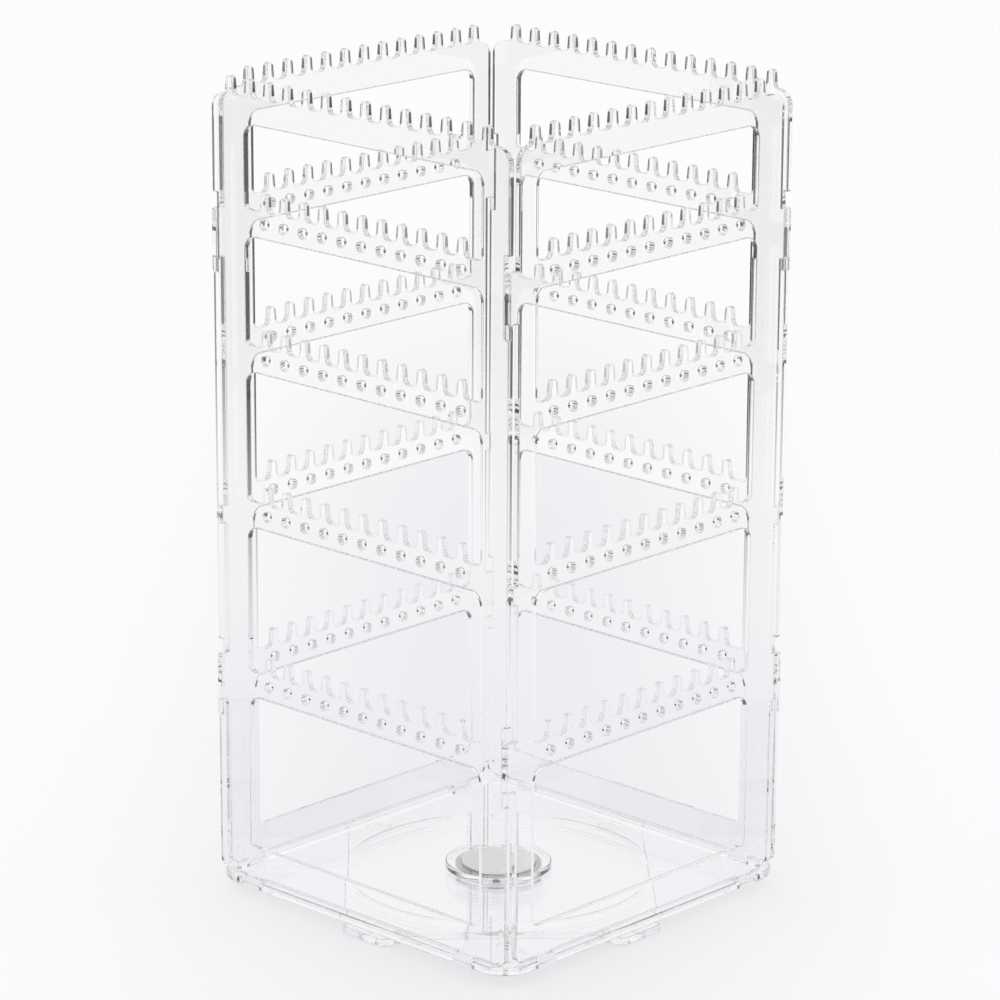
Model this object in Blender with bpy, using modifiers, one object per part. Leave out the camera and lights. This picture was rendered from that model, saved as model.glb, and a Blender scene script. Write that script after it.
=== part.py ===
"""Clear rotating jewelry stand: four toothed, perforated panels hooked together on a turning tray.

Metres, +Z up. The origin is on the table, under the axis that the tray turns about.
The front panel faces -Y and the right panel faces +X. The front right corner is the one
that both window patterns are shifted towards, and the back left corner repeats it.
"""
import math

import bmesh
import bpy
from mathutils import Matrix, Vector

# General
OBJECT_NAME = "jewelry_stand"
SEAT_GAP = 0.0003          # gap between pieces that touch
CUT_EXTRA = 0.002          # how far a cutter runs past the face that it opens

# Tower and panels
TOWER_WIDTH = 0.152        # across the outer faces of opposite panels
PANEL_THICKNESS = 0.0025
PANEL_HEIGHT = 0.3105      # bottom edge to the tips of the top teeth
WIDE_END_INSET = 0.0006    # a wide panel's end stops this far inside the narrow panel's outer face
CORNER_GAP = 0.0028        # daylight between a narrow panel's end and the wide panel's inner face
TOP_CORNER_RADIUS = 0.0056
BOTTOM_CORNER_RADIUS = 0.0045
BOTTOM_RELIEF = 0.0003     # the bottom edge between the tabs is cut back this much

# Teeth, holes and windows
TOOTH_PITCH = 0.010
TOOTH_HEIGHT = 0.007
TOOTH_ROOT_WIDTH = 0.0042
TOOTH_TIP_WIDTH = 0.0028
TOOTH_TIP_RISE = 0.0009    # height of the rounded tip
ROW_END_SPACE = 0.0065     # least distance from the middle of a rail's last tooth to its post
HOLE_DIAMETER = 0.0038
HOLE_SIDES = 6
ROW_DEPTHS = (0.2319, 0.1649, 0.1048, 0.0534)    # hole centres below the tips of the top teeth
RAIL_ABOVE_HOLE = 0.0047   # hole centre to the valleys between the teeth
RAIL_BELOW_HOLE = 0.0054   # hole centre to the rail's lower edge
TOP_BAND = 0.010           # valleys of the top teeth down to the first window
BOTTOM_BAND = 0.0125
WIDE_NEAR_POST = 0.01325        # beside the windows, at the shared corner
WIDE_FAR_POST = 0.01705
NARROW_NEAR_POST = 0.0093
NARROW_FAR_POST = 0.0141
WIDE_CROWN_SHIFT = -0.0011      # of the top teeth, towards the shared corner
NARROW_CROWN_SHIFT = 0.0023
WINDOW_TOP_RADIUS = 0.005
WINDOW_BOTTOM_RADIUS = 0.002

# Hooks, notches and nubs at the corners
LOWER_HOOK_HEIGHT = 0.0863      # top of the lower hook above the bottom edge
UPPER_HOOK_DEPTH = 0.0508       # top of the upper hook below the tips of the top teeth
HOOK_NECK = 0.0190
HOOK_DROP = 0.005
LIP_THICKNESS = 0.0013
HOOK_RADIUS = 0.0010
LIFT = 0.0055              # travel that frees a narrow panel
LIFT_SPARE = 0.0005
NUB_BOTTOM = 0.1376
NUB_HEIGHT = 0.007

# Tabs at the panels' bottom edge
TAB_WIDTH = 0.009
TAB_FROM_FACE = 0.0195     # middle of a tab to the tower's outer face
TAB_SHIFT = 0.0013         # away from the shared corner
TAB_LENGTH = 0.003

# Foot plate
PAD_PROUD = 0.0003         # the pads lift the foot plate this much off the table
FOOT_THICKNESS = 0.0030
FOOT_PROUD = 0.00075       # how far a foot shows past the tray
FOOT_WIDTH = 0.0238
FOOT_CORNER_RADIUS = 0.004
FOOT_TOP_RADIUS = 0.006
FOOT_DRAFT = 0.0006        # slope of the foot's outer face
FOOT_LENGTH = 0.007        # tip of a foot back to the plate's hollowed sides
FOOT_SHIFT = 0.0043        # of each foot from the middle of its side, towards the shared corner
SIDE_HOLLOW = 0.0015       # how deep the sides across the shared corners are hollowed
TURRET_HEIGHT = 0.0028     # above the plate
TURRET_CLEARANCE = 0.0017  # to the inside of the hub
TURRET_WALL = 0.002
BORE_CLEARANCE = 0.0004

# Tray
TRAY_RUNNING_GAP = 0.0012  # between the plate and the tray's underside
TRAY_LEDGE = 0.00225       # how far the tray shows past the tower's outer faces
TRAY_CORNER_RADIUS = 0.013
TRAY_EDGE = 0.0032
FLOOR_THICKNESS = 0.0018
EDGE_BAND = 0.007
RIB_WIDTH = 0.0014
RING_RIB_INSET = 0.0126    # middle of the ring rib to the edge band
HUB_DIAMETER = 0.041
HUB_RISE = 0.0025
HUB_WALL = 0.0018
HUB_CEILING = 0.0014
TOP_CHAMFER = 0.0005       # on the rims of the hub and of its cap
AXLE_DIAMETER = 0.010
AXLE_LENGTH = 0.0034
PEG_WIDTH = 0.0045
PEG_HEIGHT = 0.008
PEG_THICKNESS = 0.0018
PEG_CLEARANCE = 0.0035     # from the corner where two panels' inner faces would meet, on each axis

# Small pieces
CAP_BORDER = 0.006         # rim of the hub round its cap
CAP_THICKNESS = 0.001
RING_THICKNESS = 0.0008
RING_WALL = 0.009
SCREW_DIAMETER = 0.003
SCREW_HEAD_DIAMETER = 0.0065
SCREW_HEAD_HEIGHT = 0.0011
SCREW_CHAMFER = 0.0006
WASHER_DIAMETER = 0.010
WASHER_THICKNESS = 0.0006
WEB_THICKNESS = 0.0012
PAD_DIAMETER = 0.010
PAD_THICKNESS = 0.0013
PAD_INSET = 0.009          # middle of a pad to the tip of its foot
ROUND_STEPS = 28
RING_STEPS = 40
SMALL_STEPS = 14

# Heights above the table
FOOT_BOTTOM = PAD_PROUD
FOOT_TOP = FOOT_BOTTOM + FOOT_THICKNESS
TURRET_TOP = FOOT_TOP + TURRET_HEIGHT
RING_BOTTOM = TURRET_TOP + SEAT_GAP
HUB_CEILING_BOTTOM = RING_BOTTOM + RING_THICKNESS + SEAT_GAP
CAP_SEAT = HUB_CEILING_BOTTOM + HUB_CEILING
CAP_BOTTOM = CAP_SEAT + SEAT_GAP
AXLE_BOTTOM = HUB_CEILING_BOTTOM - AXLE_LENGTH
WEB_BOTTOM = AXLE_BOTTOM - SEAT_GAP - WEB_THICKNESS
WASHER_BOTTOM = WEB_BOTTOM - SEAT_GAP - WASHER_THICKNESS
SCREW_HEAD_BOTTOM = WASHER_BOTTOM - SEAT_GAP - SCREW_HEAD_HEIGHT
TRAY_BOTTOM = FOOT_TOP + TRAY_RUNNING_GAP
TRAY_TOP = TRAY_BOTTOM + TRAY_EDGE
HUB_TOP = TRAY_TOP + HUB_RISE
PANEL_BOTTOM = TRAY_TOP + SEAT_GAP

# Panel sizes that follow from the joints
WIDE_HALF = TOWER_WIDTH / 2 - WIDE_END_INSET
NARROW_HALF = TOWER_WIDTH / 2 - PANEL_THICKNESS - CORNER_GAP
PANEL_OFFSET = TOWER_WIDTH / 2 - PANEL_THICKNESS / 2
NOTCH_DEPTH = PANEL_THICKNESS + SEAT_GAP - WIDE_END_INSET
RECESS_DEPTH = LIP_THICKNESS + SEAT_GAP
HOOK_TOPS = (LOWER_HOOK_HEIGHT, PANEL_HEIGHT - UPPER_HOOK_DEPTH)

# Windows and rows, between the posts
ROW_HEIGHTS = tuple(PANEL_HEIGHT - depth for depth in ROW_DEPTHS)
WIDE_WINDOW_WIDTH = 2 * WIDE_HALF - WIDE_NEAR_POST - WIDE_FAR_POST
NARROW_WINDOW_WIDTH = 2 * NARROW_HALF - NARROW_NEAR_POST - NARROW_FAR_POST
WIDE_WINDOW_SHIFT = (WIDE_FAR_POST - WIDE_NEAR_POST) / 2
NARROW_WINDOW_SHIFT = (NARROW_FAR_POST - NARROW_NEAR_POST) / 2
ROW_TEETH = int((NARROW_WINDOW_WIDTH - 2 * ROW_END_SPACE) / TOOTH_PITCH) + 1

# Base sizes that follow from the tower and the hub
TRAY_WIDTH = TOWER_WIDTH + 2 * TRAY_LEDGE
TAB_SPAN = TOWER_WIDTH - 2 * TAB_FROM_FACE
RING_RIB_RADIUS = TRAY_WIDTH / 2 - EDGE_BAND - RING_RIB_INSET
FOOT_REACH = TRAY_WIDTH / 2 + FOOT_PROUD
FOOT_ARM = FOOT_REACH - FOOT_LENGTH
PAD_RADIUS_FROM_AXIS = FOOT_REACH - PAD_INSET
TURRET_DIAMETER = HUB_DIAMETER - 2 * HUB_WALL - 2 * TURRET_CLEARANCE
CAP_DIAMETER = HUB_DIAMETER - 2 * CAP_BORDER


def clear_scene():
    """Remove every object, so that only the stand is left."""
    for thing in list(bpy.data.objects):
        bpy.data.objects.remove(thing, do_unlink=True)


def new_collection(name):
    """Add a collection to the scene."""
    group = bpy.data.collections.new(name)
    bpy.context.scene.collection.children.link(group)
    return group


def make_material(name, colour, roughness, metallic=0.0, alpha=1.0):
    """A Principled material in one colour."""
    material = bpy.data.materials.new(name)
    material.use_nodes = True
    shader = material.node_tree.nodes["Principled BSDF"]
    shader.inputs["Base Color"].default_value = (*colour, 1.0)
    shader.inputs["Roughness"].default_value = roughness
    shader.inputs["Metallic"].default_value = metallic
    shader.inputs["Alpha"].default_value = alpha
    return material


def arc(centre, radius, start, end, steps):
    """Points of an arc, both ends included; angles in degrees."""
    points = []
    for step in range(steps + 1):
        angle = math.radians(start + (end - start) * step / steps)
        points.append((centre[0] + radius * math.cos(angle), centre[1] + radius * math.sin(angle)))
    return points


def mirrored(points):
    """The same points on the other side of the centre line, in reverse order."""
    return [(-x, y) for x, y in reversed(points)]


def tooth(centre, valley):
    """One tooth from left to right: tapered flank, rounded tip, flank."""
    root = TOOTH_ROOT_WIDTH / 2
    tip = TOOTH_TIP_WIDTH / 2
    shoulder = valley + TOOTH_HEIGHT - TOOTH_TIP_RISE
    return [
        (centre - root, valley),
        (centre - tip, shoulder),
        (centre, valley + TOOTH_HEIGHT),
        (centre + tip, shoulder),
        (centre + root, valley),
    ]


def tooth_row(middle, count, valley):
    """A row of teeth from left to right."""
    points = []
    for number in range(count):
        points += tooth(middle + (number - (count - 1) / 2) * TOOTH_PITCH, valley)
    return points


def crown_teeth(half, shift):
    """How many teeth fit between the rounded top corners of a panel."""
    room = 2 * (half - TOP_CORNER_RADIUS - abs(shift)) - TOOTH_ROOT_WIDTH
    return int(room / TOOTH_PITCH) + 1


def window_edges():
    """Lower and upper edge of each window, from the bottom window to the top one."""
    lower = [BOTTOM_BAND] + [height + RAIL_ABOVE_HOLE for height in ROW_HEIGHTS]
    upper = [height - RAIL_BELOW_HOLE for height in ROW_HEIGHTS]
    upper.append(PANEL_HEIGHT - TOOTH_HEIGHT - TOP_BAND)
    return list(zip(lower, upper))


def window_loop(middle, half, lower, upper, toothed):
    """One window, drawn anticlockwise from its lower left corner."""
    small = WINDOW_BOTTOM_RADIUS
    large = WINDOW_TOP_RADIUS
    points = arc((middle - half + small, lower + small), small, 180, 270, 1)
    if toothed:
        points += tooth_row(middle, ROW_TEETH, lower)
    points += arc((middle + half - small, lower + small), small, -90, 0, 1)
    points += arc((middle + half - large, upper - large), large, 0, 90, 3)
    points += arc((middle - half + large, upper - large), large, 90, 180, 3)
    return points


def hole_loops(middle):
    """The holes of all rows, one below each tooth."""
    loops = []
    for height in ROW_HEIGHTS:
        for number in range(ROW_TEETH):
            x = middle + (number - (ROW_TEETH - 1) / 2) * TOOTH_PITCH
            loops.append(arc((x, height), HOLE_DIAMETER / 2, 0, 360 - 360 / HOLE_SIDES, HOLE_SIDES - 1))
    return loops


def tab_points(middle, side):
    """One tab below the bottom edge, left to right; its root is relieved on the panel's inner side."""
    half = TAB_WIDTH / 2
    return [
        (middle - half, BOTTOM_RELIEF if side > 0 else 0.0),
        (middle - half + SEAT_GAP, -TAB_LENGTH),
        (middle + half - SEAT_GAP, -TAB_LENGTH),
        (middle + half, BOTTOM_RELIEF if side < 0 else 0.0),
    ]


def notch_side(half):
    """Right end of a wide panel from bottom to top, with a notch for each hook."""
    points = []
    for top in HOOK_TOPS:
        bottom = top - HOOK_NECK - SEAT_GAP
        crown = top + LIFT + LIFT_SPARE
        inner = half - NOTCH_DEPTH
        points += [(half, bottom), (inner, bottom), (inner, crown), (half, crown)]
    return points


def hook_side(half):
    """Right end of a narrow panel from bottom to top, with a hook, a nub and a hook."""
    reach = TOWER_WIDTH / 2
    lip = reach - LIP_THICKNESS
    nub = TOWER_WIDTH / 2 - PANEL_THICKNESS - SEAT_GAP
    ends = []
    for top in HOOK_TOPS:
        neck = top - HOOK_NECK
        toe = neck - HOOK_DROP
        ends.append([(half, neck), (lip, neck), (lip, toe), (reach, toe)]
                    + arc((reach - HOOK_RADIUS, top - HOOK_RADIUS), HOOK_RADIUS, 0, 90, 2)
                    + [(half, top)])
    lower, upper = ends
    nub_top = NUB_BOTTOM + NUB_HEIGHT
    middle = [(half, NUB_BOTTOM), (nub, NUB_BOTTOM), (nub, nub_top), (half, nub_top)]
    return lower + middle + upper


def panel_outline(half, side, crown_middle, tab_middle):
    """Outer edge of a panel, drawn anticlockwise from the middle of its bottom edge."""
    radius = BOTTOM_CORNER_RADIUS
    low = arc((half - radius, radius), radius, -90, 0, 3)
    radius = TOP_CORNER_RADIUS
    valley = PANEL_HEIGHT - TOOTH_HEIGHT
    high = arc((half - radius, valley - radius), radius, 0, 90, 4)
    right = low + side + high
    teeth = crown_teeth(half, crown_middle)
    crown = list(reversed(tooth_row(crown_middle, teeth, valley)))
    right_tab = tab_points(tab_middle + TAB_SPAN / 2, 1)
    left_tab = tab_points(tab_middle - TAB_SPAN / 2, -1)
    return left_tab + right_tab + right + crown + mirrored(right)


def shared_corner_shift(wide):
    """Sign of the direction to the shared corner, along the panel's own width."""
    return 1.0 if wide else -1.0


def flat_mesh(name, loops, thickness):
    """A plate in the XY plane from nested loops: a filled 2D curve, welded into one closed mesh."""
    curve = bpy.data.curves.new(name + "_curve", "CURVE")
    curve.dimensions = "2D"
    curve.fill_mode = "BOTH"
    curve.extrude = thickness / 2
    for loop in loops:
        spline = curve.splines.new("POLY")
        spline.points.add(len(loop) - 1)
        for point, (x, y) in zip(spline.points, loop):
            point.co = (x, y, 0.0, 1.0)
        spline.use_cyclic_u = True
    drawing = bpy.data.objects.new(name + "_drawing", curve)
    bpy.context.scene.collection.objects.link(drawing)
    graph = bpy.context.evaluated_depsgraph_get()
    mesh = bpy.data.meshes.new_from_object(drawing.evaluated_get(graph))
    bpy.data.objects.remove(drawing, do_unlink=True)
    work = bmesh.new()
    work.from_mesh(mesh)
    bmesh.ops.remove_doubles(work, verts=work.verts, dist=0.000001)
    bmesh.ops.recalc_face_normals(work, faces=work.faces)
    work.to_mesh(mesh)
    work.free()
    mesh.name = name
    return mesh


def add_object(name, mesh, group, material=None):
    """Put a mesh into a collection as an object."""
    thing = bpy.data.objects.new(name, mesh)
    group.objects.link(thing)
    if material:
        mesh.materials.clear()
        mesh.materials.append(material)
    return thing


def add_cutter(name, mesh, group):
    """A mesh that only cuts or joins other meshes."""
    thing = add_object(name, mesh, group)
    thing.hide_render = True
    thing.display_type = "WIRE"
    return thing


def combine(target, tool, operation):
    """Add a Boolean modifier."""
    modifier = target.modifiers.new(operation.lower() + "_" + tool.name, "BOOLEAN")
    modifier.operation = operation
    modifier.object = tool
    modifier.solver = "EXACT"


def box_mesh(name, lowest, highest):
    """A box between two corners."""
    work = bmesh.new()
    bmesh.ops.create_cube(work, size=1.0)
    size = Vector(highest) - Vector(lowest)
    middle = (Vector(highest) + Vector(lowest)) / 2
    work.transform(Matrix.Translation(middle) @ Matrix.Diagonal((*size, 1.0)))
    mesh = bpy.data.meshes.new(name)
    work.to_mesh(mesh)
    work.free()
    return mesh


def cylinder_mesh(name, radius, bottom, top, steps=ROUND_STEPS):
    """An upright cylinder on the Z axis."""
    work = bmesh.new()
    bmesh.ops.create_cone(work, cap_ends=True, segments=steps, radius1=radius, radius2=radius,
                          depth=top - bottom)
    work.transform(Matrix.Translation((0.0, 0.0, (top + bottom) / 2)))
    mesh = bpy.data.meshes.new(name)
    work.to_mesh(mesh)
    work.free()
    mesh.shade_smooth()
    mesh.set_sharp_from_angle(angle=math.radians(35))
    return mesh


def turned_object(name, profile, group, material=None, steps=ROUND_STEPS):
    """A profile of (radius, height) points, down its outer side first, turned about Z by a Screw modifier."""
    work = bmesh.new()
    corners = [work.verts.new((radius, 0.0, height)) for radius, height in profile]
    for first, second in zip(corners, corners[1:] + corners[:1]):
        if first.co.x > 0.0 or second.co.x > 0.0:
            work.edges.new((first, second))
    mesh = bpy.data.meshes.new(name)
    work.to_mesh(mesh)
    work.free()
    thing = add_object(name, mesh, group, material)
    screw = thing.modifiers.new("turn", "SCREW")
    screw.axis = "Z"
    screw.steps = steps
    screw.render_steps = steps
    screw.use_merge_vertices = True
    screw.merge_threshold = 0.00001
    screw.use_smooth_shade = False
    return thing


def turned_cutter(name, profile, group, steps=ROUND_STEPS):
    """A turned profile that only cuts or joins other meshes."""
    thing = turned_object(name, profile, group, steps=steps)
    thing.hide_render = True
    thing.display_type = "WIRE"
    return thing


def make_panel(name, wide, turn, parts, tools, material):
    """One wall of the tower, drawn flat, stood up and turned to its side."""
    half = WIDE_HALF if wide else NARROW_HALF
    side = notch_side(half) if wide else hook_side(half)
    opening = WIDE_WINDOW_WIDTH if wide else NARROW_WINDOW_WIDTH
    sign = shared_corner_shift(wide)
    middle = sign * (WIDE_WINDOW_SHIFT if wide else NARROW_WINDOW_SHIFT)
    crown = sign * (WIDE_CROWN_SHIFT if wide else NARROW_CROWN_SHIFT)
    loops = [panel_outline(half, side, crown, -sign * TAB_SHIFT)]
    for number, (lower, upper) in enumerate(window_edges()):
        loops.append(window_loop(middle, opening / 2, lower, upper, toothed=number > 0))
    loops += hole_loops(middle)
    panel = add_object(name, flat_mesh(name, loops, PANEL_THICKNESS), parts, material)
    stand_up = Matrix.Rotation(math.radians(90), 4, "X")
    place = Matrix.Translation((0.0, -PANEL_OFFSET, PANEL_BOTTOM))
    panel.matrix_world = Matrix.Rotation(math.radians(turn), 4, "Z") @ place @ stand_up
    if wide:
        outer = PANEL_THICKNESS / 2
        for number, top in enumerate(HOOK_TOPS):
            notch = top - HOOK_NECK - SEAT_GAP
            for label, direction in (("left", -1.0), ("right", 1.0)):
                inner = direction * (half - NOTCH_DEPTH)
                edge = direction * (half + CUT_EXTRA)
                low = (min(inner, edge), notch - HOOK_DROP, outer - RECESS_DEPTH)
                high = (max(inner, edge), notch + CUT_EXTRA, outer + CUT_EXTRA)
                recess = add_cutter(f"{name}_recess_{label}_{number}", box_mesh("recess", low, high), tools)
                recess.matrix_world = panel.matrix_world
                combine(panel, recess, "DIFFERENCE")
    return panel


def foot_shift(turn):
    """Shift of a foot along its side, anticlockwise round the axis; angle in degrees."""
    return FOOT_SHIFT if turn % 180 else -FOOT_SHIFT


def foot_outline(reach, radius):
    """Outline of the foot plate: four feet, with two hollowed and two straight sides between them."""
    half = FOOT_WIDTH / 2
    start = Vector((FOOT_ARM, half + FOOT_SHIFT))
    end = Vector((half + FOOT_SHIFT, FOOT_ARM))
    chord = (end - start).length
    bow = (chord * chord / 4 + SIDE_HOLLOW * SIDE_HOLLOW) / (2 * SIDE_HOLLOW)
    outward = Vector((1.0, 1.0)).normalized()
    centre = (start + end) / 2 + outward * (bow - SIDE_HOLLOW)
    spread = math.degrees(math.asin(chord / 2 / bow))
    points = []
    for turn in (0, 90, 180, 270):
        shift = foot_shift(turn)
        quarter = arc((reach - radius, shift - half + radius), radius, -90, 0, 3)
        quarter += arc((reach - radius, shift + half - radius), radius, 0, 90, 3)
        if shift > 0.0:
            quarter += arc(centre, bow, 225 + spread, 225 - spread, 8)
        spin = Matrix.Rotation(math.radians(turn), 2)
        points += [tuple(spin @ Vector(point)) for point in quarter]
    return points


def loft_mesh(name, lower, upper, bottom, top):
    """A solid between two outlines with the same number of points."""
    work = bmesh.new()
    low = [work.verts.new((x, y, bottom)) for x, y in lower]
    high = [work.verts.new((x, y, top)) for x, y in upper]
    count = len(low)
    work.faces.new(list(reversed(low)))
    work.faces.new(high)
    for number in range(count):
        after = (number + 1) % count
        work.faces.new((low[number], low[after], high[after], high[number]))
    bmesh.ops.recalc_face_normals(work, faces=work.faces)
    mesh = bpy.data.meshes.new(name)
    work.to_mesh(mesh)
    work.free()
    return mesh


def pad_place(turn):
    """Middle of the pad on one side of the axis; angle in degrees."""
    return Matrix.Rotation(math.radians(turn), 3, "Z") @ Vector((PAD_RADIUS_FROM_AXIS, foot_shift(turn), 0.0))


def make_foot_plate(parts, tools, material):
    """The stationary base: a hollow-sided plate with four feet, a turret and a bore for the axle."""
    lower = foot_outline(FOOT_REACH, FOOT_CORNER_RADIUS)
    upper = foot_outline(FOOT_REACH - FOOT_DRAFT, FOOT_TOP_RADIUS)
    slab = loft_mesh("foot_plate", lower, upper, FOOT_BOTTOM, FOOT_TOP)
    plate = add_object("foot_plate", slab, parts, material)
    outer = TURRET_DIAMETER / 2
    core = outer - TURRET_WALL
    opening = cylinder_mesh("opening", core, FOOT_BOTTOM - CUT_EXTRA, FOOT_TOP + CUT_EXTRA)
    combine(plate, add_cutter("plate_opening", opening, tools), "DIFFERENCE")
    bore = AXLE_DIAMETER / 2 + BORE_CLEARANCE
    screw_well = WASHER_DIAMETER / 2 + BORE_CLEARANCE
    screw_bore = SCREW_DIAMETER / 2 + BORE_CLEARANCE
    post = bore + TURRET_WALL
    skirt = FOOT_BOTTOM + SEAT_GAP
    profile = [
        (outer, TURRET_TOP),
        (outer, skirt),
        (core - SEAT_GAP, skirt),
        (core - SEAT_GAP, TURRET_TOP - TURRET_WALL),
        (post, TURRET_TOP - TURRET_WALL),
        (post, skirt),
        (screw_well, skirt),
        (screw_well, WEB_BOTTOM),
        (screw_bore, WEB_BOTTOM),
        (screw_bore, WEB_BOTTOM + WEB_THICKNESS),
        (bore, WEB_BOTTOM + WEB_THICKNESS),
        (bore, TURRET_TOP),
    ]
    combine(plate, turned_cutter("turret", profile, tools), "UNION")
    wide = PAD_DIAMETER / 2 + SEAT_GAP
    for number in range(4):
        pocket = cylinder_mesh("pocket", wide, FOOT_BOTTOM - CUT_EXTRA, PAD_THICKNESS + SEAT_GAP, SMALL_STEPS)
        cutter = add_cutter(f"pad_pocket_{number}", pocket, tools)
        cutter.location = pad_place(90 * number)
        combine(plate, cutter, "DIFFERENCE")
    return plate


def make_pads(parts, material):
    """An anti-slip pad in the underside of each foot."""
    for name, turn in (("pad_right", 0), ("pad_back", 90), ("pad_left", 180), ("pad_front", 270)):
        disc = cylinder_mesh(name, PAD_DIAMETER / 2, 0.0, PAD_THICKNESS, SMALL_STEPS)
        pad = add_object(name, disc, parts, material)
        pad.location = pad_place(turn)


def rounded_square(width, radius, steps):
    """Outline of a square with round corners."""
    half = width / 2 - radius
    points = []
    for turn, (x, y) in enumerate(((half, half), (-half, half), (-half, -half), (half, -half))):
        points += arc((x, y), radius, 90 * turn, 90 * turn + 90, steps)
    return points


def moved_mesh(mesh, matrix):
    """Transform a mesh in place."""
    mesh.transform(matrix)
    return mesh


def make_tray(parts, tools, material):
    """The turning floor: edge band, thin floor with ribs beneath, hub, axle, slots and corner pegs."""
    outline = rounded_square(TRAY_WIDTH, TRAY_CORNER_RADIUS, 6)
    slab = flat_mesh("tray", [outline], TRAY_EDGE)
    moved_mesh(slab, Matrix.Translation((0.0, 0.0, TRAY_BOTTOM + TRAY_EDGE / 2)))
    tray = add_object("tray", slab, parts, material)

    floor_bottom = TRAY_TOP - FLOOR_THICKNESS
    inner = TRAY_WIDTH - 2 * EDGE_BAND
    depth = floor_bottom - TRAY_BOTTOM + CUT_EXTRA
    hollow = flat_mesh("hollow", [rounded_square(inner, TRAY_CORNER_RADIUS - EDGE_BAND, 4)], depth)
    moved_mesh(hollow, Matrix.Translation((0.0, 0.0, floor_bottom - depth / 2)))
    combine(tray, add_cutter("tray_hollow", hollow, tools), "DIFFERENCE")

    hub = HUB_DIAMETER / 2
    cavity = hub - HUB_WALL
    opening = cylinder_mesh("opening", hub - HUB_WALL / 2, TRAY_BOTTOM - CUT_EXTRA, HUB_TOP + CUT_EXTRA)
    combine(tray, add_cutter("hub_opening", opening, tools), "DIFFERENCE")

    rib_top = floor_bottom + FLOOR_THICKNESS / 2
    ring = turned_cutter("ring_rib", [
        (RING_RIB_RADIUS + RIB_WIDTH / 2, rib_top),
        (RING_RIB_RADIUS + RIB_WIDTH / 2, TRAY_BOTTOM),
        (RING_RIB_RADIUS - RIB_WIDTH / 2, TRAY_BOTTOM),
        (RING_RIB_RADIUS - RIB_WIDTH / 2, rib_top),
    ], tools, steps=RING_STEPS)
    combine(tray, ring, "UNION")

    corner = (TRAY_WIDTH / 2 - EDGE_BAND / 2) * math.sqrt(2) - TRAY_CORNER_RADIUS * (math.sqrt(2) - 1)
    for number in range(4):
        rib = box_mesh("rib", (RING_RIB_RADIUS, -RIB_WIDTH / 2, TRAY_BOTTOM),
                       (corner, RIB_WIDTH / 2, rib_top))
        cutter = add_cutter(f"corner_rib_{number}", rib, tools)
        cutter.rotation_euler.z = math.radians(45 + 90 * number)
        combine(tray, cutter, "UNION")

    pilot = SCREW_DIAMETER / 2 + SEAT_GAP
    cap_radius = CAP_DIAMETER / 2 + SEAT_GAP
    profile = [
        (hub - TOP_CHAMFER, HUB_TOP),
        (hub, HUB_TOP - TOP_CHAMFER),
        (hub, TRAY_BOTTOM + SEAT_GAP),
        (cavity, TRAY_BOTTOM + SEAT_GAP),
        (cavity, HUB_CEILING_BOTTOM),
        (AXLE_DIAMETER / 2, HUB_CEILING_BOTTOM),
        (AXLE_DIAMETER / 2, AXLE_BOTTOM),
        (pilot, AXLE_BOTTOM),
        (pilot, CAP_SEAT - HUB_CEILING / 2),
        (0.0, CAP_SEAT - HUB_CEILING / 2),
        (0.0, CAP_SEAT),
        (cap_radius, CAP_SEAT),
        (cap_radius, HUB_TOP),
    ]
    combine(tray, turned_cutter("hub_boss", profile, tools), "UNION")

    radius = PEG_WIDTH / 2
    arch = [(-radius, -FLOOR_THICKNESS / 2), (radius, -FLOOR_THICKNESS / 2)]
    arch += arc((0.0, PEG_HEIGHT - radius), radius, 0, 180, 6)
    reach = (TOWER_WIDTH / 2 - PANEL_THICKNESS - PEG_CLEARANCE) * math.sqrt(2)
    for number in range(4):
        peg = add_cutter(f"corner_peg_{number}", flat_mesh("peg", [arch], PEG_THICKNESS), tools)
        spin = Matrix.Rotation(math.radians(45 + 90 * number), 4, "Z")
        stand_up = Matrix.Rotation(math.radians(90), 4, "X")
        peg.matrix_world = spin @ Matrix.Translation((0.0, -reach, TRAY_TOP)) @ stand_up
        combine(tray, peg, "UNION")

    for turn, sign in ((0, 1.0), (90, -1.0), (180, 1.0), (270, -1.0)):
        for side in (-1.0, 1.0):
            middle = -sign * TAB_SHIFT + side * TAB_SPAN / 2
            wide = TAB_WIDTH / 2 + SEAT_GAP
            thick = PANEL_THICKNESS / 2 + SEAT_GAP
            slot = box_mesh("slot", (middle - wide, -PANEL_OFFSET - thick, TRAY_BOTTOM - CUT_EXTRA),
                            (middle + wide, -PANEL_OFFSET + thick, TRAY_TOP + CUT_EXTRA))
            cutter = add_cutter(f"tab_slot_{turn}_{'ab'[side > 0]}", slot, tools)
            cutter.rotation_euler.z = math.radians(turn)
            combine(tray, cutter, "DIFFERENCE")
    return tray


def make_hub_cap(parts, material):
    """Round cap let into the top of the hub."""
    radius = CAP_DIAMETER / 2
    top = CAP_BOTTOM + CAP_THICKNESS
    profile = [
        (0.0, top),
        (radius - TOP_CHAMFER, top),
        (radius, top - TOP_CHAMFER),
        (radius, CAP_BOTTOM),
        (0.0, CAP_BOTTOM),
    ]
    return turned_object("hub_cap", profile, parts, material)


def make_glide_ring(parts, material):
    """Flat ring on which the hub's ceiling turns."""
    outer = TURRET_DIAMETER / 2 - SEAT_GAP
    profile = [
        (outer, RING_BOTTOM + RING_THICKNESS),
        (outer, RING_BOTTOM),
        (outer - RING_WALL, RING_BOTTOM),
        (outer - RING_WALL, RING_BOTTOM + RING_THICKNESS),
    ]
    return turned_object("glide_ring", profile, parts, material)


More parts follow.
